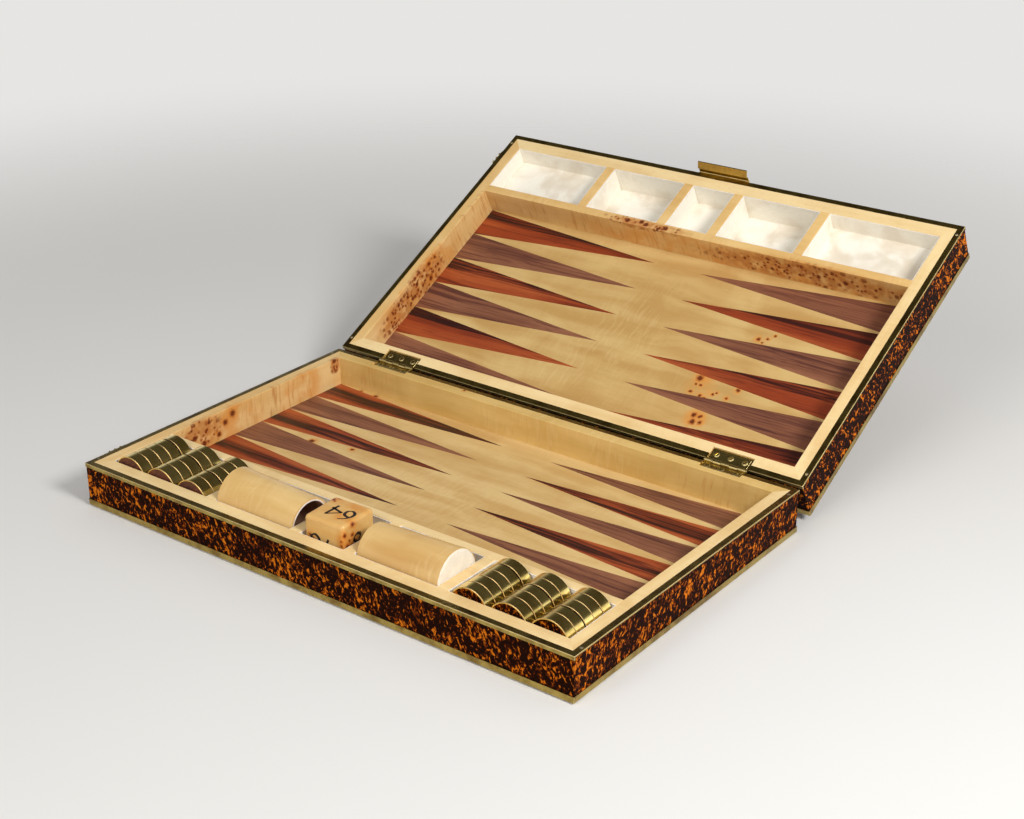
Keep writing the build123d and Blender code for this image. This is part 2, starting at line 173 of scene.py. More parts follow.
# One material: constants go on the shader's own sockets, patterns are worked out from the place on the piece
class Paint(Nodes):
    def __init__(self, name, **constants):
        self.material = bpy.data.materials.new(name)
        super().__init__(self.material)
        self.shader = self.tree.nodes["Principled BSDF"]
        for socket, value in constants.items():
            self.shader.inputs[socket.replace("_", " ")].default_value = value

    def point(self, half):
        # The place on the piece in its half's own frame, in millimetres
        place, turn, _ = halfFrames[half].decompose()
        found = self.add("TexCoord", {}, {}, "Object")
        sockets = {"Vector": found, "Location": place, "Rotation": turn.to_euler(), "Scale": (0.001,) * 3}
        return self.add("Mapping", {"vector_type": "TEXTURE"}, sockets)

    def turned(self, vector, degrees):
        turn = [math.radians(angle) for angle in degrees]
        return self.add("Mapping", {"vector_type": "POINT"}, {"Vector": vector, "Rotation": turn})

    def along(self, vector, axis):
        return self.add("SeparateXYZ", {}, {0: vector}, axis)

    def stretched(self, vector, scale):
        return self.add("VectorMath", {"operation": "MULTIPLY"}, {0: vector, 1: scale})

    def shifted(self, vector, offset):
        return self.add("VectorMath", {"operation": "ADD"}, {0: vector, 1: offset})

    def noise(self, vector, scale, detail=2.0, roughness=0.5, distortion=0.0, output=0):
        sockets = {"Vector": vector, "Scale": scale, "Detail": detail}
        sockets.update({"Roughness": roughness, "Distortion": distortion})
        return self.add("TexNoise", {}, sockets, output)

    def swayed(self, vector, scale, reach):
        # The place pushed about by a slow noise, so that what follows wanders
        push = self.noise(vector, scale, 1.0, output=1)
        return self.add("VectorMath", {"operation": "MULTIPLY_ADD"}, {0: push, 1: (reach,) * 3, 2: vector})

    def near(self, vector, centre, reach, soft):
        # 1 inside an ellipsoid of the given reaches, falling to 0 just outside it
        offset = self.shifted(vector, [-c for c in centre])
        scaled = self.stretched(offset, [1 / r for r in reach])
        length = self.add("VectorMath", {"operation": "LENGTH"}, {0: scaled}, "Value")
        return length.ramp(1.0 + soft, 1.0 - soft)

    def facing(self, half):
        # How far the surface faces along each axis of its half, without sign
        _, turn, _ = halfFrames[half].decompose()
        normal = self.add("TexCoord", {}, {}, "Normal")
        sockets = {"Vector": normal, "Rotation": turn.inverted().to_euler()}
        turned = self.add("Mapping", {"vector_type": "VECTOR"}, sockets)
        return [abs(self.along(turned, axis)) for axis in "XYZ"]

    def nearAny(self, vector, places, soft=0.35):
        # 1 inside any of several ellipsoids
        spots = [self.near(vector, centre, reach, soft) for centre, reach in places]
        whole = spots[0]
        for spot in spots[1:]:
            whole = whole.most(spot)
        return whole

    def finish(self, colour, roughness=None, height=None, bumpSize=0.0, bumpStrength=0.0):
        # What changes over the surface goes to the shader: colour, roughness and, by way of a bump, the height
        links = {"Base Color": colour, "Roughness": roughness}
        if height is not None:
            sockets = {"Height": height, "Distance": bumpSize, "Strength": bumpStrength}
            links["Normal"] = self.add("Bump", {}, sockets)
        for socket, value in links.items():
            if value is not None:
                self.tree.links.new(value.socket, self.shader.inputs[socket])
        return self.material


# Floor, background and lamps
stageLook = {
    "floor": tone(224, 222, 218),
    "floorShade": 0.97,
    "floorReach": 9.0,
    "floorDrop": 0.0005,
    "background": tone(230, 229, 227),
    "overhead": tone(72, 69, 62),
    "darkensBetween": (0.1, 0.46),
    "floorFades": (1.7, 0.65),
    "worldStrength": 0.5,
    "keyPlace": (1.72, -0.3, 1.4),
    "keySize": 0.6,
    "keyPower": 36,
    "fillPlace": (-0.1, -2.2, 1.5),
    "fillSize": 1.6,
    "fillPower": 24,
    "sidePlace": (1.3, 0.98, 0.3),
    "sideSize": 0.8,
    "sidePower": 1.6,
    "aim": (0, 0.12, 0.05),
}


def makeStage():
    # A flat square that fades out far from the case, so that it has no horizon line
    mesh = bpy.data.meshes.new("floor")
    reach = stageLook["floorReach"]
    corners = [(-reach, -reach, 0), (reach, -reach, 0), (reach, reach, 0), (-reach, reach, 0)]
    mesh.from_pydata(corners, [], [(0, 1, 2, 3)])
    floor = bpy.data.objects.new("floor", mesh)
    floor.location.z = -stageLook["floorDrop"]
    bpy.context.scene.collection.objects.link(floor)
    paint = Paint("floor", Roughness=0.85)
    place = paint.add("TexCoord", {}, {}, "Object")
    mottle = paint.noise(place, 3.0, 3.0)
    shade = tuple(channel * stageLook["floorShade"] for channel in stageLook["floor"][:3]) + (1,)
    distance = paint.add("VectorMath", {"operation": "LENGTH"}, {0: place}, "Value")
    paint.tree.links.new(distance.ramp(*stageLook["floorFades"]).socket, paint.shader.inputs["Alpha"])
    mesh.materials.append(paint.finish(paint.blend(mottle, shade, stageLook["floor"])))


def makeLamp(name):
    # A round soft lamp that looks at the middle of the case
    light = bpy.data.lights.new(name + "Lamp", "AREA")
    light.shape, light.size, light.energy = "DISK", stageLook[name + "Size"], stageLook[name + "Power"]
    lamp = bpy.data.objects.new(name + "Lamp", light)
    lamp.location = stageLook[name + "Place"]
    away = Vector(stageLook[name + "Place"]) - Vector(stageLook["aim"])
    lamp.rotation_euler = away.to_track_quat("Z", "Y").to_euler()
    bpy.context.scene.collection.objects.link(lamp)


def makeWorld():
    # Even light for the surfaces; the camera, metal and glass see a pale horizon that darkens overhead
    world = bpy.data.worlds.new("studio")
    nodes = Nodes(world)
    direction = nodes.add("TexCoord", {}, {}, "Generated")
    height = nodes.add("SeparateXYZ", {}, {0: direction}, "Z")
    level = height.ramp(*stageLook["darkensBetween"])
    backdrop = nodes.blend(level, stageLook["background"], stageLook["overhead"])
    lighting = nodes.add("Background", {}, {"Strength": stageLook["worldStrength"]})
    seen = nodes.add("Background", {}, {"Color": backdrop})
    rays = [nodes.add("LightPath", {}, {}, f"Is {kind} Ray") for kind in ("Camera", "Glossy", "Transmission")]
    either = rays[0].most(rays[1]).most(rays[2])
    mixed = nodes.add("MixShader", {}, {0: either, 1: lighting, 2: seen})
    nodes.tree.links.new(mixed.socket, nodes.tree.nodes["World Output"].inputs[0])
    bpy.context.scene.world = world


makeStage()
makeWorld()
for lampName in ("key", "fill", "side"):
    makeLamp(lampName)
print("floor, background and lamps set")


# Maple veneer: streaks and fibres along the grain, fine ripples and brown flames across it, and its marks
mapleLook = {
    "cream": tone(240, 212, 156),
    "honey": tone(224, 188, 128),
    "fibre": tone(196, 150, 92),
    "ripple": tone(250, 228, 182),
    "flame": tone(186, 118, 56),
    "ripples": 0.3,
    "flames": 0.1,
    "stain": tone(214, 142, 62),
    "halo": tone(168, 84, 30),
    "heart": tone(98, 42, 18),
    "eyes": (7.5, 0.26, 0.6, 2.3),  # spacing, least luck, smallest reach and spread, as in eyes()
    "dots": (4.2, 0.62, 0.1, 1.2),
    "lacquer": 0.12,
}
baseFieldLook = dict(mapleLook, cream=tone(220, 187, 127), honey=tone(201, 161, 99), fibre=tone(176, 130, 72))
baseFieldLook.update(ripple=tone(232, 204, 148), ripples=0.18)
lidFieldLook = dict(baseFieldLook, cream=tone(211, 178, 116), honey=tone(191, 150, 88))
wallLook = dict(mapleLook, cream=tone(236, 202, 142), honey=tone(220, 178, 112), flames=0.7)
hingeWallLook = dict(mapleLook, cream=tone(224, 188, 116), honey=tone(206, 166, 92), flames=0.4)
railLook = dict(mapleLook, cream=tone(232, 194, 128), honey=tone(214, 170, 102), flames=0.7)
cubeLook = dict(mapleLook, cream=tone(226, 188, 118), honey=tone(208, 156, 84), fibre=tone(186, 122, 56))
cubeLook.update(ripple=tone(240, 208, 146), ripples=0.2, lacquer=0.3)
cubeLook.update(stain=tone(206, 128, 44), heart=tone(98, 36, 12), halo=tone(168, 78, 26))
leftCupLook = dict(mapleLook, cream=tone(228, 194, 132), honey=tone(212, 172, 106), lacquer=0.25)
rightCupLook = dict(mapleLook, cream=tone(220, 182, 118), honey=tone(202, 156, 90), lacquer=0.25, ripples=0.5)

# Where the veneer is marked: centres and reaches in the half's frame, in millimetres. A knot has one reach
veneerMarks = {
    "base": {
        "left_wall": {
            "burl": [((-250, 124, -15), (6, 26, 16)), ((-250, 311, -5), (6, 7, 9))],
            "knots": [((-250.4, 166, -7), 3.0), ((-250.4, 156, -13), 2.6), ((-250.4, 147, -22), 2.2)],
            "stains": [((-250, 150, -18), (6, 50, 24)), ((-250, 262, -15), (6, 26, 24))],
            "flames": [((-250, 240, -15), (6, 60, 24))],
        },
        "rear_wall": {
            "knots": [((-100, 333, 0), 1.3), ((-97, 329, 0), 1.0), ((-93, 332, 0), 1.1)],
            "flames": [((200, 319, -18), (60, 6, 14)), ((-210, 319, -12), (30, 6, 10))],
        },
        "field_board": {
            "knots": [
                ((-180.6, 200.1, -29.2), 2.6),
                ((-136.8, 209, -29.2), 1.8),
                ((-201.2, 316.4, -29.2), 2.2),
                ((-221.5, 317.6, -29.2), 1.5),
            ],
            "ripples": [((-20, 170, -29), (90, 60, 9))],
        },
    },
    "lid": {
        "left_wall": {
            "burl": [((250, 214, -15), (6, 30, 18)), ((250, 262, -18), (6, 34, 14))],
            "knots": [((250.4, 190.8, -5), 1.8), ((250.4, 201.5, -5), 2.4), ((250.4, 207, -21), 2.6)],
            "stains": [((250, 225, -16), (6, 70, 24)), ((250, 178, -24), (6, 18, 10))],
            "flames": [((250, 130, -15), (6, 60, 24))],
        },
        "tray_frame": {
            "burl": [((-140, 89, -15.5), (108, 6, 14)), ((44, 86, -1), (46, 6, 5))],
            "stains": [((-60, 90, -20), (190, 3, 20)), ((-165, 89, -14), (90, 3, 16))],
            "flames": [((60, 89, -16), (210, 3, 15))],
        },
        "field_board": {
            "knots": [
                ((-98, 233.2, -29.2), 3.0),
                ((-98, 241, -29.2), 1.1),
                ((-103, 240.8, -29.2), 1.3),
                ((-97.3, 251, -29.2), 1.5),
                ((-108.7, 252.6, -29.2), 1.3),
                ((-113.9, 254.6, -29.2), 1.2),
                ((-119.8, 247.6, -29.2), 1.2),
                ((-122.8, 244.8, -29.2), 1.2),
                ((-135.1, 247.8, -29.2), 1.4),
                ((-141, 235.4, -29.2), 1.8),
                ((-128, 170.4, -29.2), 2.0),
                ((-133.6, 173.2, -29.2), 1.1),
                ((-136.8, 167.5, -29.2), 1.4),
                ((-141.9, 161.8, -29.2), 1.1),
                ((-115.5, 276, -29.2), 2.4),
                ((-122.2, 276, -29.2), 1.8),
                ((-118, 284, -29.2), 2.6),
                ((-125.5, 282.6, -29.2), 1.9),
            ],
            "stains": [((-119, 280, -29), (13, 11, 4)), ((-104, 243, -29), (16, 15, 4))],
            "ripples": [((10, 205, -29), (42, 60, 9)), ((52, 262, -29), (46, 30, 9))],
        },
    },
    "cube": {
        "knots": [
            ((-14.1, -20.6, 3.2), 1.5),
            ((-11.6, -20.6, 1.2), 1.2),
            ((18.3, -20.6, 6.7), 0.9),
            ((18.6, -20.6, 2.2), 1.0),
            ((20.6, -18.4, 11.6), 1.6),
            ((20.6, -8.7, 8.8), 1.5),
            ((20.6, -8.0, 17.6), 1.8),
            ((20.6, -15.5, 0.6), 1.7),
            ((20.6, -17.8, -2.4), 1.5),
            ((20.6, -13.0, 5.0), 1.0),
            ((-17.2, 14.0, 20.6), 1.6),
            ((-14.0, 18.8, 20.6), 1.5),
            ((-14.6, 12.0, 20.6), 1.0),
        ],
        "stains": [
            ((20, -14, 6), (7, 13, 16)),
            ((2, -2, 20), (26, 22, 4)),
            ((-14, 14, 19), (9, 9, 6)),
            ((-13, -20, 3), (7, 3, 7)),
        ],
    },
}


def eyes(paint, place, where, spacing, least, smallest, spread):
    # Scattered cells: each has its luck, from 0 to 1. Those above the least hold a ragged dark heart in a brown ring,
    # whose reach is the smallest plus the spread times the luck
    cells = {"Vector": place, "Scale": 1 / spacing, "Randomness": 1.0}
    distance = paint.add("TexVoronoi", {"feature": "F1"}, cells, "Distance") * spacing
    chosen = paint.add("TexVoronoi", {"feature": "F1"}, cells, "Color")
    luck = paint.add("SeparateColor", {}, {0: chosen}, 0)
    present = luck.ramp(least, least + 0.08) * where
    beyond = distance - (luck * spread + smallest)
    return beyond.ramp(0.3, -0.3) * present, beyond.ramp(1.7, 0.0) * present


def knots(paint, place, spots):
    # How far the nearest knot's middle is, counted in that knot's reach: gives its heart, its ring and a glow round it
    nearest = None
    for centre, reach in spots:
        offset = paint.stretched(paint.shifted(place, [-c for c in centre]), (1 / reach,) * 3)
        length = paint.add("VectorMath", {"operation": "LENGTH"}, {0: offset}, "Value")
        nearest = length if nearest is None else nearest.least(length)
    return nearest.ramp(1.1, 0.7), nearest.ramp(1.9, 1.0), nearest.ramp(3.6, 1.2)


def maple(name, half, look, along, shift, marks=()):
    # The grain runs along x or y and starts elsewhere for each piece, so that no two pieces match
    paint = Paint(name, Coat_Weight=look["lacquer"], Coat_Roughness=0.1, Specular_IOR_Level=0.28)
    place = paint.point(half)
    grain = paint.shifted(place, shift)
    if along == "y":
        grain = paint.turned(grain, (0, 0, 90))
    wandering = paint.swayed(grain, 0.014, 16.0)  # the grain's slow wander
    streaks = paint.noise(paint.stretched(wandering, (0.005, 0.05, 0.05)), 1.0, 4.0, 0.5)
    clouds = paint.noise(grain, 0.016, 3.0, 0.5, 0.6)
    fibres = paint.noise(paint.stretched(wandering, (0.06, 1.2, 1.2)), 1.0, 3.0, 0.6)
    curls = paint.swayed(wandering, 0.05, 5.0)  # and a quicker one, which bends the ripples
    ripples = paint.noise(paint.stretched(curls, (0.36, 0.05, 0.05)), 1.0, 2.0, 0.5, 0.4)
    flames = paint.noise(paint.stretched(curls, (0.3, 0.03, 0.03)), 1.0, 3.0, 0.6, 0.6)
    patches = paint.noise(grain, 0.013, 1.0).ramp(0.42, 0.62) * 0.35  # where ripples and flames show faintly
    rippled = patches.most(paint.nearAny(place, marks["ripples"], 0.6)) if "ripples" in marks else patches
    flamed = patches.most(paint.nearAny(place, marks["flames"], 0.5)) if "flames" in marks else patches
    colour = paint.blend((streaks * 0.6 + clouds * 0.4).ramp(0.36, 0.64), look["cream"], look["honey"])
    colour = paint.blend(fibres.ramp(0.5, 0.74) * 0.22, colour, look["fibre"])
    colour = paint.blend(ripples.ramp(0.5, 0.66) * rippled * look["ripples"], colour, look["ripple"])
    colour = paint.blend(ripples.ramp(0.48, 0.34) * rippled * (look["ripples"] * 0.4), colour, look["fibre"])
    colour = paint.blend(flames.ramp(0.5, 0.72) * flamed * look["flames"], colour, look["flame"])
    if "stains" in marks:
        where = paint.nearAny(place, marks["stains"])
        blotches = paint.noise(paint.swayed(place, 0.06, 14.0), 0.05, 3.0).ramp(0.36, 0.62)
        colour = paint.blend(where * (blotches * 0.5 + 0.2), colour, look["stain"])
    ragged = paint.swayed(place, 0.4, 2.6)  # so that eyes and knots aren't round
    if "burl" in marks:
        where = paint.nearAny(place, marks["burl"])
        heart, halo = eyes(paint, ragged, where, *look["eyes"])
        dot, ring = eyes(paint, ragged, where, *look["dots"])
        browned = paint.noise(place, 0.11, 2.0).ramp(0.34, 0.6) * where
        colour = paint.blend(browned * 0.8, colour, look["flame"])
        colour = paint.blend(halo.most(ring) * 0.75, colour, look["halo"])
        colour = paint.blend(heart.most(dot) * 0.9, colour, look["heart"])
    if "knots" in marks:
        heart, halo, glow = knots(paint, paint.shifted(ragged, (-1.3,) * 3), marks["knots"])
        blotch = paint.noise(place, 0.22, 2.0).ramp(0.36, 0.6)
        colour = paint.blend(glow * (blotch * 0.5 + 0.3), colour, look["stain"])
        colour = paint.blend(halo * 0.7, colour, look["halo"])
        colour = paint.blend(heart * 0.92, colour, look["heart"])
    roughness = 0.34 + fibres * 0.16
    return paint.finish(colour, roughness, fibres, 0.00006, 0.2)


# Striped veneers of the points: dark streaks drawn together over part of each point's width, open pores, and on the lid
# a painted shadow towards the right-hand wall
pointRows = {"hingeSide": 318.8, "pitch": 38.25, "darkAt": {"base": 0.5, "lid": 0.2}}
rosewoodLook = {
    "ground": tone(150, 62, 30),
    "warm": tone(172, 84, 42),
    "streak": tone(106, 42, 24),
    "line": tone(52, 24, 20),
    "pore": tone(72, 28, 16),
    "across": 0.36,
    "streakAt": (0.44, 0.6),
    "lineAt": (0.58, 0.65),
    "pores": 0.4,
    "shadeTowardsRight": 0.15,
    "drawn": 0.18,
}
walnutLook = {
    "ground": tone(134, 84, 60),
    "warm": tone(150, 98, 70),
    "streak": tone(100, 58, 46),
    "line": tone(74, 42, 38),
    "pore": tone(76, 44, 34),
    "across": 0.42,
    "streakAt": (0.46, 0.64),
    "lineAt": (0.6, 0.7),
    "pores": 0.5,
    "shadeTowardsRight": 0.1,
    "drawn": 0.04,
}


def striped(name, half, look, shift):
    # Lines are drawn where two noises, stretched along x, add up high; across one point's width the sum is raised
    paint = Paint(name, Coat_Weight=0.12, Coat_Roughness=0.1, Specular_IOR_Level=0.25)
    point = paint.point(half)
    place = paint.swayed(paint.shifted(point, shift), 0.01, 7.0)
    across = look["across"]
    fine = paint.noise(paint.stretched(place, (0.003, across, across)), 1.0, 3.0, 0.6)
    broad = paint.noise(paint.stretched(place, (0.005, 0.045, 0.045)), 1.0, 2.0)
    pores = paint.noise(paint.stretched(place, (0.03, 1.6, 1.6)), 1.0, 3.0, 0.62)
    row = (paint.along(point, "Y") - pointRows["hingeSide"]) * (1 / pointRows["pitch"])
    drawn = abs(row.fraction() - pointRows["darkAt"][half]).ramp(0.34, 0.08)  # 1 in the dark middle of each point
    level = fine * 0.72 + broad * 0.28 + drawn * look["drawn"] - look["drawn"] * 0.3
    colour = paint.blend(broad.ramp(0.6, 0.36), look["ground"], look["warm"])
    colour = paint.blend(level.ramp(*look["streakAt"]), colour, look["streak"])
    colour = paint.blend(level.ramp(*look["lineAt"]), colour, look["line"])
    if half == "lid":
        # Painted shadow: on the lid the points darken towards the right-hand wall, whose shadow falls on them
        away = paint.along(point, "X").ramp(90, -210)
        colour = paint.blend(away * look["shadeTowardsRight"], colour, look["streak"])
    colour = paint.blend(pores.ramp(0.53, 0.66) * look["pores"], colour, look["pore"])
    roughness = 0.34 + pores * 0.16
    return paint.finish(colour, roughness, pores, 0.0001, 0.25)


# Tortoiseshell pattern: ragged amber flecks on a near-black ground, drawn out upward and leaning over
shellLook = {
    "ground": tone(30, 11, 5),
    "edge": tone(112, 44, 8),
    "fleck": tone(206, 112, 20),
    "fleckAt": (0.51, 0.56),
    "amberAt": (0.553, 0.6),
}


def tortoiseshell(name, half, scale=1.0):
    # Two noises stretched along a leaning line add up; amber shows above one level, with a brown edge just below it
    paint = Paint(name, Specular_IOR_Level=0.01)
    place = paint.swayed(paint.point(half), 0.16 * scale, 5.0 / scale)
    leaning = paint.turned(paint.turned(place, (0, 0, 45)), (0, -62, 0))
    flecks = paint.noise(paint.stretched(leaning, (0.12, 0.22, 0.22)), scale, 3.0, 0.6, 0.9)
    threads = paint.noise(paint.stretched(leaning, (0.2, 0.5, 0.5)), scale, 2.0, 0.5, 0.6)
    fields = paint.noise(place, 0.03 * scale, 1.0)
    level = flecks * 0.62 + threads * 0.34 + fields * 0.1 - 0.03
    colour = paint.blend(level.ramp(*shellLook["fleckAt"]), shellLook["ground"], shellLook["edge"])
    colour = paint.blend(level.ramp(*shellLook["amberAt"]), colour, shellLook["fleck"])
    roughness = 0.16 + flecks * 0.08
    return paint.finish(colour, roughness, flecks, 0.00002, 0.1)


# Aged brass: a cloudy patina, fine brush lines, and a painted highlight with rubbed wear along the edges; lines run
# where the stretch is small
brassLook = {
    "bright": tone(216, 192, 118),
    "aged": tone(166, 142, 80),
    "stain": tone(96, 78, 40),
    "rubbed": tone(244, 220, 160),
    "polish": 0.16,
    "brush": (0.3, 0.3, 3.0),
    "bump": 0.25,
}
edgingLook = dict(brassLook, bright=tone(184, 160, 88), aged=tone(128, 102, 50), stain=tone(78, 58, 28), polish=0.2)
claspLook = dict(brassLook, bright=tone(206, 170, 62), aged=tone(162, 130, 44), stain=tone(100, 78, 28), polish=0.14)
pinLook = dict(brassLook, bright=tone(226, 216, 190), aged=tone(200, 188, 156), stain=tone(150, 136, 100), polish=0.4)
bandLook = dict(brassLook, bright=tone(242, 218, 138), aged=tone(206, 178, 98), stain=tone(124, 100, 48))
# The bands' chamfers get a pale pinkish painted highlight, with rubbed wear
bandLook.update(rubbed=tone(250, 206, 148), polish=0.11, brush=(2.4, 0.1, 2.4), bump=0.08)


def brass(name, half, look, axis=None, rim=False):
    # Edges get a painted highlight that also stands for rubbed wear: slanting faces anywhere, or only those round an
    # axis. A rim also on its outer edge
    paint = Paint(name, Metallic=1.0)
    facing = paint.facing(half)
    if axis is None:
        rubbed = facing[0].most(facing[1]).most(facing[2]).ramp(0.97, 0.85)
    else:
        rubbed = facing[axis].ramp(0.2, 0.4).least(facing[axis].ramp(0.97, 0.85))
    place = paint.point(half)
    if rim:
        nearTop = paint.along(place, "Z").ramp(-0.95, -0.6)
        rubbed = rubbed.most(nearTop * facing[2].ramp(0.6, 0.3))
    clouds = paint.noise(place, 0.05, 5.0, 0.62)
    lines = paint.noise(paint.stretched(place, look["brush"]), 1.0, 3.0, 0.6)
    specks = paint.noise(place, 0.5, 4.0, 0.6)
    colour = paint.blend(clouds.ramp(0.38, 0.68), look["bright"], look["aged"])
    colour = paint.blend(specks.ramp(0.6, 0.78) * 0.55, colour, look["stain"])
    # Painted highlight, with rubbed wear: the edges take the pale colour
    colour = paint.blend(rubbed * (0.9 - specks * 0.5), colour, look["rubbed"])
    roughness = look["polish"] + clouds * 0.08 + lines * 0.1 + rubbed * 0.25
    return paint.finish(colour, roughness, lines, 0.00005, look["bump"])


# White satin: threads one way, soft slubs the other, and slow cloudy folds whose grey is painted shade, laid on more
# thickly on the tray floors
satinLook = {"white": tone(246, 240, 226), "greyShadeAndSlub": tone(220, 206, 184), "thread": tone(228, 216, 196)}


def satin(name, half):
    paint = Paint(name, Sheen_Weight=0.25, Sheen_Roughness=0.4, Specular_IOR_Level=0.3)
    place = paint.point(half)
    threads = paint.noise(paint.stretched(place, (0.25, 2.6, 2.6)), 1.0, 2.0)
    slubs = paint.noise(paint.stretched(place, (1.6, 0.1, 0.4)), 1.0, 3.0)
    folds = paint.noise(place, 0.03, 3.0, 0.5, 0.4)
    floor = paint.facing(half)[2].ramp(0.5, 0.9)
    # Painted shade: grey in the folds, and more of it on the floors, which face up
    foldAndFloorShade = folds.ramp(0.5, 0.7) * 0.5 + folds.ramp(0.42, 0.6) * floor * 0.4
    colour = paint.blend(foldAndFloorShade, satinLook["white"], satinLook["greyShadeAndSlub"])
    colour = paint.blend(threads.ramp(0.5, 0.7) * 0.4, colour, satinLook["thread"])
    colour = paint.blend(slubs.ramp(0.55, 0.72) * 0.3, colour, satinLook["greyShadeAndSlub"])
    return paint.finish(colour, 0.36 + threads * 0.2, threads + folds * 2.0, 0.0004, 0.3)


# Felts, each from its dark to its light tone
feltLooks = {
    "underside": (tone(54, 40, 32), tone(82, 64, 52)),
    "cup": (tone(150, 98, 66), tone(206, 150, 108)),
    "cream": (tone(222, 210, 190), tone(244, 234, 216)),
    "mouth": (tone(214, 204, 198), tone(244, 236, 230)),
}


def felt(kind):
    # Short fibres laid every way over a cloudy ground
    paint = Paint(kind + "Felt", Roughness=0.95, Sheen_Weight=0.3, Sheen_Roughness=0.6)
    place = paint.point("base")
    fibres = paint.noise(paint.swayed(place, 0.6, 1.2), 1.7, 4.0, 0.7)
    clouds = paint.noise(place, 0.12, 3.0)
    colour = paint.blend((fibres * 0.7 + clouds * 0.3).ramp(0.36, 0.66), *feltLooks[kind])
    return paint.finish(colour, None, fibres, 0.0003, 0.6)


# Plain woods: the stained faces of the left checkers, and the boards that close the two halves
stainedLook = {"wood": tone(112, 58, 40), "grain": tone(70, 34, 26), "pore": tone(40, 20, 16)}
plywoodLook = {"wood": tone(206, 172, 122), "grain": tone(176, 138, 90)}


def darkWood(name):
    # Close dark grain with open pores
    paint = Paint(name, Coat_Weight=0.15, Coat_Roughness=0.15, Specular_IOR_Level=0.3)
    place = paint.swayed(paint.turned(paint.point("base"), (0, 34, 0)), 0.02, 6.0)
    grain = paint.noise(paint.stretched(place, (0.05, 0.05, 0.5)), 1.0, 4.0, 0.6)
    pores = paint.noise(paint.stretched(place, (0.12, 0.12, 1.6)), 1.0, 3.0, 0.6)
    colour = paint.blend(grain.ramp(0.36, 0.66), stainedLook["wood"], stainedLook["grain"])
    colour = paint.blend(pores.ramp(0.54, 0.7) * 0.6, colour, stainedLook["pore"])
    return paint.finish(colour, 0.4 + pores * 0.15, pores, 0.0001, 0.3)


def plywood(name, half):
    paint = Paint(name, Roughness=0.6)
    place = paint.point(half)
    grain = paint.noise(paint.stretched(place, (0.01, 0.2, 0.2)), 1.0, 4.0)
    colour = paint.blend(grain.ramp(0.35, 0.68), plywoodLook["wood"], plywoodLook["grain"])
    return paint.finish(colour, None, grain, 0.0001, 0.3)


def wearMaterial(node, material):
    # The node's own shape stays as it is and gets the material alone
    held = nodes[node].data.materials
    held.clear()
    held.append(material)


# The veneered pieces of a half: which way their grain runs, and their look
veneered = {
    "field_board": ("x", {"base": baseFieldLook, "lid": lidFieldLook}),
    "front_wall": ("x", {"base": mapleLook, "lid": mapleLook}),
    "rear_wall": ("x", {"base": hingeWallLook, "lid": mapleLook}),
    "left_wall": ("y", {"base": wallLook, "lid": wallLook}),
    "right_wall": ("y", {"base": mapleLook, "lid": mapleLook}),
    "tray_frame": ("x", {"base": mapleLook, "lid": railLook}),
}


def dressHalf(half):
    # The lid's veneers start far from the base's in every pattern
    lift = 0 if half == "base" else 900
    for order, (piece, (along, looks)) in enumerate(veneered.items()):
        shift = (173 * order + lift, 61 * order, 0)
        marks = veneerMarks[half].get(piece, {})
        wearMaterial(f"{half}_{piece}", maple(f"{half}_{piece}_maple", half, looks[half], along, shift, marks))
    wearMaterial(half + "_bottom_board", plywood(half + "Plywood", half))
    for piece, look in (("rosewood", rosewoodLook), ("walnut", walnutLook)):
        wearMaterial(f"{half}_points_{piece}", striped(half + piece.title(), half, look, (lift, lift / 3, 0)))
    wearMaterial(half + "_side_panels", tortoiseshell(half + "Tortoiseshell", half))
    wearMaterial(half + "_tray_linings", satin(half + "Satin", half))
    edging = brass(half + "Edging", half, edgingLook, rim=True)
    hardware = brass(half + "Hardware", half, brassLook)
    for node in ("rim_angle", "edge_band"):
        wearMaterial(f"{half}_{node}", edging)
    for node in ("left_hinge_leaf", "right_hinge_leaf", "hinge_screws", "side_catch"):
        wearMaterial(f"{half}_{node}", hardware)
    return hardware


hardware = {half: dressHalf(half) for half in halves}
wearMaterial("lid_top_panel", tortoiseshell("topTortoiseshell", "lid"))
wearMaterial("base_underside_felt", felt("underside"))
wearMaterial("hinge_pins", hardware["base"])
claspBrass = brass("claspBrass", "lid", claspLook)
for part in ("bracket", "plate", "pin", "screws"):
    wearMaterial("clasp_" + part, claspBrass)
bandBrass = brass("bandBrass", "base", bandLook, axis=1)
leftFaces, rightFaces = darkWood("stainedFaces"), tortoiseshell("shellFaces", "base", 1.2)
for row in ("1", "2", "3"):
    wearMaterial(f"left_checkers_{row}_bands", bandBrass)
    wearMaterial(f"right_checkers_{row}_bands", bandBrass)
    wearMaterial(f"left_checkers_{row}_faces", leftFaces)
    wearMaterial(f"right_checkers_{row}_faces", rightFaces)
cupFelt, creamFelt = felt("cup"), felt("cream")
for side, look, shift in (("left", leftCupLook, (30, 0, 0)), ("right", rightCupLook, (140, 60, 20))):
    wearMaterial(side + "_cup_shell", maple(side + "CupMaple", "base", look, "x", shift))
    wearMaterial(side + "_cup_lining", cupFelt)
    wearMaterial(side + "_cup_end_disc", creamFelt)
cubeBurl = maple("cubeBurl", "cube", cubeLook, "x", (70, 20, 0), veneerMarks["cube"])
wearMaterial("doubling_cube", cubeBurl)
print("materials on", len(nodes), "nodes")


# A grid of points as one closed mesh: each row is a ring, and the rings go all the way round too, or end in flat
# faces or in poles
def surface(name, grid, wrapRows=False, caps=False):
    rows, columns = grid.shape[:2]
    index = np.arange(rows * columns).reshape(rows, columns)
    if wrapRows:
        index = np.vstack([index, index[:1]])
    index = np.hstack([index, index[:, :1]])
    quads = np.stack([index[:-1, :-1], index[1:, :-1], index[1:, 1:], index[:-1, 1:]], -1).reshape(-1, 4)
    faces = quads.tolist()
    if caps:
        faces += [np.arange(columns)[::-1].tolist(), (np.arange(columns) + (rows - 1) * columns).tolist()]
    mesh = bpy.data.meshes.new(name)
    mesh.from_pydata(grid.reshape(-1, 3).tolist(), [], faces)
    return mesh


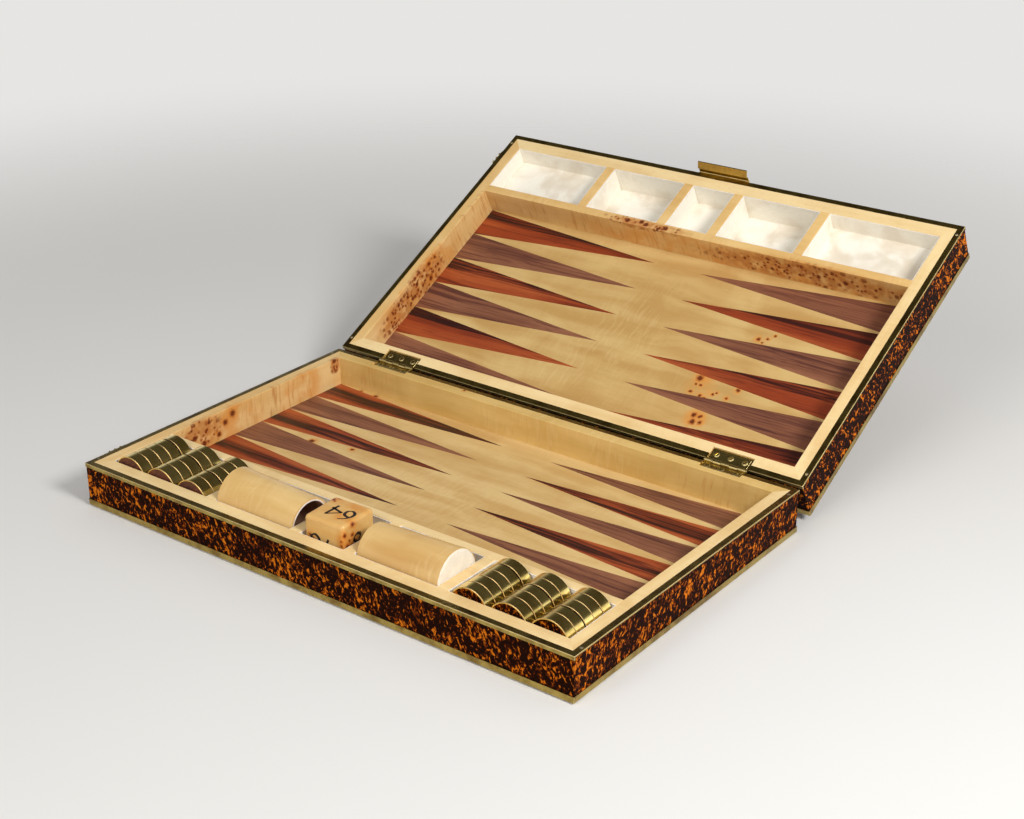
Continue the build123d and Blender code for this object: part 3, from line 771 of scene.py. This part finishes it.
def joined(name, meshes, place, material, body, smooth=True):
    # Several closed meshes as one piece, put in place in its mesh, with faces outward
    whole = bmesh.new()
    for mesh in meshes:
        whole.from_mesh(mesh)
    bmesh.ops.remove_doubles(whole, verts=whole.verts, dist=1e-7)
    bmesh.ops.recalc_face_normals(whole, faces=whole.faces)
    whole.transform(place)
    made = bpy.data.meshes.new(name)
    whole.to_mesh(made)
    whole.free()
    made.materials.append(material)
    made.polygons.foreach_set("use_smooth", np.full(len(made.polygons), smooth))
    piece = bpy.data.objects.new(name, made)
    bpy.context.scene.collection.objects.link(piece)
    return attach(piece, body)


# Rim pins: small domed heads in the brass of the side rims, near both ends
pinSizes = {
    "across": 0.2644,
    "fromFront": 0.013,
    "fromHinge": 0.0138,
    "depth": 0.3366,
    "radius": 0.0014,
    "rise": 0.00013,
}
domeSunk = 0.0003


def dome(centre, radius, rise):
    # A circle whose height falls off ever faster on the way out, closed by a flat underside sunk below the edge
    turn = np.linspace(0, 2 * math.pi, 20, endpoint=False)
    out = np.array([0.0, 0.35, 0.65, 0.88, 1.0, 1.0, 0.0])
    height = np.array([1.0, 0.9, 0.62, 0.3, 0.0, 0.0, 0.0]) * rise
    height[-2:] -= domeSunk
    ring = np.stack([np.cos(turn), np.sin(turn), np.zeros_like(turn)], -1)
    grid = out[:, None, None] * radius * ring[None]
    grid[..., 2] += height[:, None]
    return surface("dome", grid + np.array(centre))


def addRimPins(half):
    # Four domes on the rim's top face
    ends = (pinSizes["fromFront"], pinSizes["depth"] - pinSizes["fromHinge"])
    places = [(side * pinSizes["across"], y, 0) for side in (-1, 1) for y in ends]
    domes = [dome(place, pinSizes["radius"], pinSizes["rise"]) for place in places]
    piece = joined(half + "_rim_pins", domes, halfFrames[half], pinBrass, half)


pinBrass = brass("pinBrass", "base", pinLook)
for half in halves:
    addRimPins(half)
print("rim pins made")


# Lining seams: a fine rolled edge where the satin turns, along the floor, up the corners and round the top
seamSizes = {
    "radius": 0.00038,
    "corner": 0.0012,
    "front": 0.0194,
    "back": 0.0794,
    "top": -0.0009,
    "ends": (0.1337, 0.2499),
    "cups": (0.03545, 0.12245),
    "cube": (-0.02425, 0.02425),
    "deep": -0.0299,
    "cubeDeep": -0.0248,
    "lidEnds": -0.02,
    "sunk": 0.00036,
}


def loop(x, y, z, radius, corner):
    # A round section carried along a rectangle with rounded corners
    turn = np.linspace(0, math.pi / 2, 5)
    centres = [(x[1] - corner, y[1] - corner), (x[0] + corner, y[1] - corner)]
    centres += [(x[0] + corner, y[0] + corner), (x[1] - corner, y[0] + corner)]
    angle = np.concatenate([turn + quarter * math.pi / 2 for quarter in range(4)])
    centre = np.repeat(np.array(centres), len(turn), axis=0)
    outward = np.stack([np.cos(angle), np.sin(angle)], -1)
    around = np.linspace(0, 2 * math.pi, 8, endpoint=False)
    reach = corner + radius * np.cos(around)
    flat = centre[:, None] + outward[:, None] * reach[None, :, None]
    height = np.broadcast_to(z + radius * np.sin(around), flat.shape[:2])
    return surface("loop", np.concatenate([flat, height[..., None]], -1), wrapRows=True)


def post(x, y, low, high, radius):
    # A round section carried straight up
    around = np.linspace(0, 2 * math.pi, 8, endpoint=False)
    ring = np.stack([x + radius * np.cos(around), y + radius * np.sin(around)], -1)
    levels = np.array([low, high])
    grid = np.concatenate([np.broadcast_to(ring, (2, 8, 2)), np.broadcast_to(levels[:, None, None], (2, 8, 1))], -1)
    return surface("post", grid, caps=True)


def addSeams(half):
    # In each tray a loop and four posts along the inner edges, and a loop round the top. Trays mirror across the middle
    size = seamSizes
    endDepth = size["lidEnds"] if half == "lid" else size["deep"]
    trays = [(size["ends"], endDepth), (size["cups"], size["deep"]), (size["cube"], size["cubeDeep"])]
    trays += [((-far, -near), depth) for (near, far), depth in trays[:2]]
    y = (size["front"], size["back"])
    low, top, radius = [], [], size["radius"]
    for x, depth in trays:
        low.append(loop(x, y, depth, radius, size["corner"]))
        low += [post(px, py, depth, size["top"], radius * 0.8) for px in x for py in y]
        # Beside the checker rows, which nearly fill their trays, the edge lies in the wall
        sunk = size["sunk"] if max(abs(x[0]), abs(x[1])) > size["cups"][1] + 0.001 else 0
        top.append(loop(x, (y[0] - sunk, y[1] + sunk), size["top"], radius, size["corner"] * 0.5))
    joined(half + "_lining_seams", low, halfFrames[half], seamThread, half)
    joined(half + "_lining_edges", top, halfFrames[half], edgeThread, half)


def thread(name, dark, light):
    # A rolled satin edge: short slanting turns of thread
    paint = Paint(name, Roughness=0.5, Sheen_Weight=0.3)
    place = paint.turned(paint.point("base"), (30, 40, 0))
    turns = paint.noise(paint.stretched(place, (2.2, 0.4, 0.4)), 1.0, 2.0)
    return paint.finish(paint.blend(turns.ramp(0.4, 0.62), dark, light), None, turns, 0.0002, 0.4)


seamThread = thread("seamThread", tone(226, 212, 190), tone(246, 236, 218))
edgeThread = thread("edgeThread", tone(226, 220, 212), tone(248, 244, 238))
for half in halves:
    addSeams(half)
print("lining seams made")


# Cup mouths: a thin pale edge where the lining turns over the wood
mouthSizes = {"radius": 0.023, "drop": 0.0018, "length": 0.085, "inside": 0.0201, "outside": 0.0214, "rise": 0.0003}
cupLean = math.atan(mouthSizes["drop"] / mouthSizes["length"])  # a cup tapers by the drop over its length


def addMouthTrim(side):
    # A flat oval section carried round the mouth, whose circle leans by the cup's taper
    size = mouthSizes
    low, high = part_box(side + "_cup_shell")
    inset = size["radius"] * math.sin(cupLean)
    mouth = high.x - inset if side == "left" else low.x + inset
    centre = Vector((mouth, (low.y + high.y) / 2, low.z + size["radius"]))
    around = np.linspace(0, 2 * math.pi, 96, endpoint=False)[:, None]
    section = np.linspace(0, 2 * math.pi, 12, endpoint=False)[None]
    middle, reach = (size["inside"] + size["outside"]) / 2, (size["outside"] - size["inside"]) / 2
    out = middle + reach * np.cos(section)
    grid = np.stack([size["rise"] * np.sin(section) + 0 * around, out * np.cos(around), out * np.sin(around)], -1)
    place = Matrix.Translation(centre) @ Matrix.Rotation(0 if side == "left" else math.pi, 4, "Z")
    place = place @ Matrix.Rotation(cupLean, 4, "Y")
    ring = surface("ring", grid, wrapRows=True)
    joined(side + "_cup_mouth_trim", [ring], place, mouthFelt, side + "_cup")


mouthFelt = felt("mouth")
for side in sides:
    addMouthTrim(side)
print("cup mouths trimmed")


# Cup ends: a soft felt disc that nearly covers the closed end
endSizes = {"radius": 0.0243, "fromFloor": 0.0248, "rise": 0.0004}


def addEndFelt(side):
    # A low dome turned to face out along the cup, leaning by the cup's taper
    low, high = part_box(side + "_cup_shell")
    turn = Matrix.Rotation((math.pi / 2 - cupLean) * (1 if side == "right" else -1), 4, "Y")
    inset = endSizes["radius"] * math.sin(cupLean)
    end = high.x - inset if side == "right" else low.x + inset
    centre = Vector((end, (low.y + high.y) / 2, low.z + endSizes["fromFloor"]))
    disc = dome((0, 0, 0), endSizes["radius"], endSizes["rise"])
    piece = joined(side + "_cup_end_felt", [disc], Matrix.Translation(centre) @ turn, creamFelt, side + "_cup")
    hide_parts(side + "_cup_end_disc")


for side in sides:
    addEndFelt(side)
print("cup ends covered")


# Doubling cube: a ball cut into its eight corners, which are pushed apart with flat faces between them
def addCube():
    reach, core = cubeSizes["round"], cubeSizes["edge"] / 2 - cubeSizes["round"]
    quarter = np.linspace(0, math.pi / 2, 7)
    height = np.concatenate([quarter - math.pi / 2, quarter])[:, None]
    around = np.concatenate([quarter + turn * math.pi / 2 for turn in range(4)])[None]
    signs = np.repeat(np.array([(1, 1), (-1, 1), (-1, -1), (1, -1)]), len(quarter), axis=0)
    level = np.repeat((-1, 1), len(quarter))[:, None]
    grid = np.stack(
        [
            signs[None, :, 0] * core + reach * np.cos(height) * np.cos(around),
            signs[None, :, 1] * core + reach * np.cos(height) * np.sin(around),
            level * core + reach * np.sin(height) + 0 * around,
        ],
        -1,
    )
    whole = surface("roundedCube", grid, caps=True)
    piece = joined("rounded_cube", [whole], halfFrames["cube"], cubeBurl, "doubling_cube")
    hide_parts("doubling_cube")


addCube()
print("cube rounded")


# Cube numbers: pen strokes, each smoothed through a few points in a box of height 1, a little proud of the face
numberSizes = {
    "height": 0.0172,
    "gap": 0.0036,
    "pen": 0.0023,
    "nibDegrees": 40,
    "proud": 0.00004,
    "sunk": 0.0002,
}
strokes = {
    "1": [[(0.16, 0.78), (0.40, 1.0), (0.23, 0.5), (0.06, 0.0)]],
    "2": [[(0.10, 0.76), (0.36, 1.0), (0.64, 0.80), (0.42, 0.42), (0.04, 0.03), (0.36, 0.08), (0.74, 0.02)]],
    "3": [[(0.14, 0.90), (0.40, 1.0), (0.62, 0.80), (0.28, 0.56), (0.64, 0.34), (0.40, 0.0), (0.04, 0.10)]],
    "4": [
        [(0.48, 1.06), (0.22, 0.79), (-0.07, 0.50)],
        [(-0.09, 0.50), (0.30, 0.45), (0.68, 0.38)],
        [(0.48, 1.08), (0.51, 0.60), (0.55, 0.07)],
    ],
    "6": [
        [(0.31, 1.05), (0.04, 0.78), (-0.06, 0.46), (0.02, 0.18), (0.26, 0.05)]
        + [(0.46, 0.18), (0.44, 0.42), (0.28, 0.58), (0.02, 0.62)],
    ],
    "8": [
        [(0.64, 0.84), (0.36, 1.0), (0.10, 0.80), (0.36, 0.52), (0.68, 0.24)]
        + [(0.36, 0.0), (0.02, 0.24), (0.36, 0.52), (0.64, 0.84)],
    ],
}


def smoothed(points, steps=10):
    # A cubic between each two points, whose slope at a point is half the way from the point before to the one after
    known = np.array(points, float)
    known = np.vstack([2 * known[0] - known[1], known, 2 * known[-1] - known[-2]])
    t = np.linspace(0, 1, steps, endpoint=False)[None, :, None]
    a, b, c, d = [known[i : len(known) - 3 + i, None] for i in range(4)]
    curve = 0.5 * (2 * b + (c - a) * t + (2 * a - 5 * b + 4 * c - d) * t**2 + (3 * b - a - 3 * c + d) * t**3)
    return np.vstack([curve.reshape(-1, 2), known[-2:-1]])


def penStroke(points, shift):
    # A flat band along the curve, broad where it crosses the nib and thin along it, closed at both ends
    size = numberSizes
    path = smoothed(points) * size["height"] + np.array([shift, 0])
    ahead = np.gradient(path, axis=0)
    ahead /= np.linalg.norm(ahead, axis=1, keepdims=True) + 1e-12
    nib = np.array([math.cos(math.radians(size["nibDegrees"])), math.sin(math.radians(size["nibDegrees"]))])
    crossing = np.abs(ahead[:, 0] * nib[1] - ahead[:, 1] * nib[0])
    half = size["pen"] * (0.3 + 0.3 * crossing)
    side = np.stack([-ahead[:, 1], ahead[:, 0]], -1) * half[:, None]
    grid = np.zeros((len(path), 4, 3))
    grid[:, 0, :2], grid[:, 1, :2] = path + side, path - side
    grid[:, 3, :2], grid[:, 2, :2] = path + side, path - side
    grid[:, :2, 2], grid[:, 2:, 2] = size["proud"], -size["sunk"]
    return surface("stroke", grid, caps=True)


def addNumber(digits, name, face):
    # The number is laid out round its middle, then turned on to its face
    size = numberSizes
    widths = [max(x for stroke in strokes[digit] for x, _ in stroke) * size["height"] for digit in digits]
    total = sum(widths) + size["gap"] * (len(digits) - 1)
    shift = -total / 2
    bands = []
    for digit, width in zip(digits, widths):
        bands += [penStroke(stroke, shift) for stroke in strokes[digit]]
        shift += width + size["gap"]
    centred = Matrix.Translation((0, -size["height"] / 2, 0))
    piece = joined(name, bands, face @ centred, ink, "doubling_cube", smooth=False)


inkLook = {"black": tone(24, 15, 14), "thin": tone(52, 32, 26)}


def makeInk():
    # Dried ink: near black, a little brown where it is thin
    paint = Paint("ink", Roughness=0.5)
    wash = paint.noise(paint.point("base"), 0.5, 3.0)
    colour = paint.blend(wash.ramp(0.35, 0.7), inkLook["black"], inkLook["thin"])
    return paint.finish(colour, None, wash, 0.00005, 0.2)


ink = makeInk()
# Each number: the turn on to its face, then its place and lean on it
numberPlaces = {
    "64": ((0, 0, 180), (-0.0024, 0.001), -8),
    "16": ((90, 180, 0), (0.0044, 0.003), -8),
    "8": ((90, 0, 90), (-0.0022, -0.0012), 8),
    "4": ((90, 0, -90), (0.001, -0.001), -4),
    "2": ((90, 0, 180), (-0.001, 0.0006), 3),
    "32": ((180, 0, 0), (0.0006, 0.0004), -3),
}
for digits, (turn, (right, up), lean) in numberPlaces.items():
    facing = Euler([math.radians(angle) for angle in turn]).to_matrix().to_4x4()
    out = Matrix.Translation((right, up, cubeSizes["edge"] / 2)) @ Matrix.Rotation(math.radians(lean), 4, "Z")
    addNumber(digits, "cube_number_" + digits, halfFrames["cube"] @ facing @ out)
print("cube numbered")
